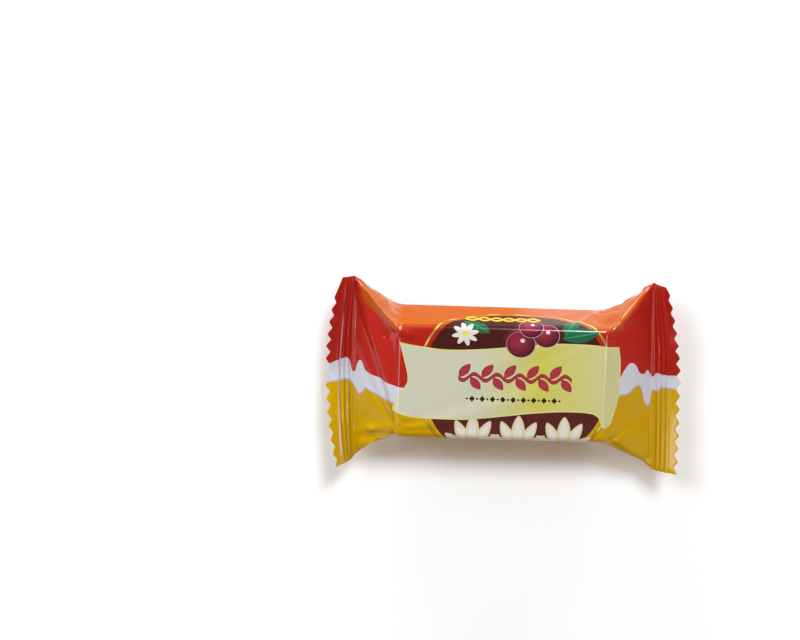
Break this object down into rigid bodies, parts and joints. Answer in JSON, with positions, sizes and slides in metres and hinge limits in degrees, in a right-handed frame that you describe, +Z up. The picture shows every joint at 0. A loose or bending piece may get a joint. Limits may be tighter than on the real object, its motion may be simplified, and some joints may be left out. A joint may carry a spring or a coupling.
{
  "type": "wrapped caramel candy",
  "caption": "Pillow pack of printed film sealed round a caramel bar, with crimped zigzag fins at both ends, lying face up on its back seam.",
  "frame": {"origin": "centre of the pack's footprint, on the surface that it lies on", "axes": "+X along the bar from fin to fin, +Y towards the top of the print, +Z up out of the printed face"},
  "size_m": [0.0754, 0.042, 0.016],
  "materials": {
    "printed_film": "glossy printed film, golden yellow below and red above, with a white wave between them, a cream banner and a dark brown round field"
  },
  "bodies": {
    "root": {"wrapped_caramel": "printed_film"}
  },
  "joints": []
}
